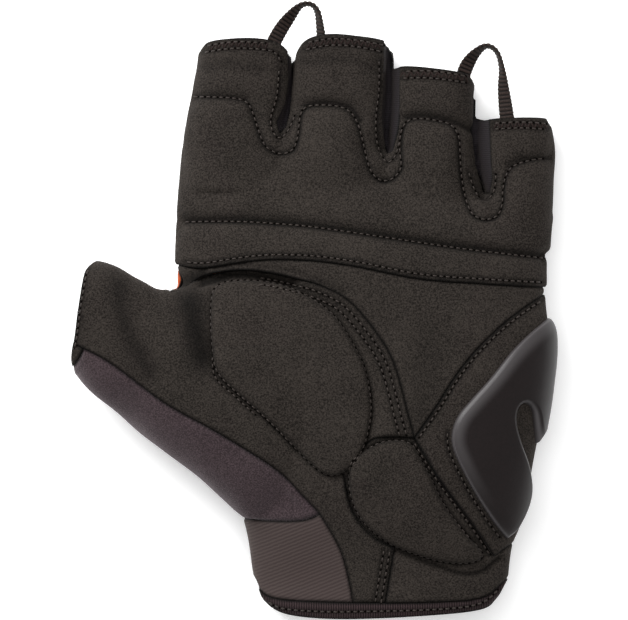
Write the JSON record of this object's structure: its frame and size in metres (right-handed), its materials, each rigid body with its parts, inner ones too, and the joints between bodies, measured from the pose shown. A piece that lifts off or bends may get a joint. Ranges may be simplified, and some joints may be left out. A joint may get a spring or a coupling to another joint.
{
  "type": "cycling glove",
  "caption": "Left-hand fingerless cycling mitt lying palm up: suede palm in sewn panels, raised foam pads, a moulded pad, terry thumb, finger pull loops and a bound cuff.",
  "frame": {"origin": "on the surface that the mitt lies on, under the middle of its outline", "axes": "+X towards the little finger, +Y towards the fingertips, +Z out of the palm"},
  "size_m": [0.1386, 0.1756, 0.0308],
  "materials": {
    "suede": "charcoal brown synthetic suede, napped and matt",
    "moulded_rubber": "dark grey moulded rubber, satin, with a bevelled rim",
    "terry": "purplish brown looped terry cloth",
    "stretch_cloth": "grey brown stretch cloth with fine slanting ribs",
    "binding": "dark folded binding with a row of stitches",
    "lycra": "purplish grey knitted elastane",
    "orange_cloth": "orange stretch cloth",
    "back_cloth": "dark stretch mesh cloth",
    "woven_tape": "narrow ribbed woven tape"
  },
  "bodies": {
    "root": {"palm_panel": "suede", "finger_panel": "suede", "thumb_panel": "suede", "side_panel": "suede", "heel_panel": "suede", "thenar_pad": "suede", "heel_pad": "suede", "moulded_pad": "moulded_rubber", "thumb_terry": "terry", "wrist_stretch_panel": "stretch_cloth", "cuff_binding": "binding", "index_fourchette": "lycra", "middle_fourchette": "lycra", "ring_fourchette": "lycra", "thumb_gusset": "orange_cloth", "back_panel": "back_cloth", "index_pull_loop": "woven_tape", "ring_pull_loop": "woven_tape"}
  },
  "joints": []
}
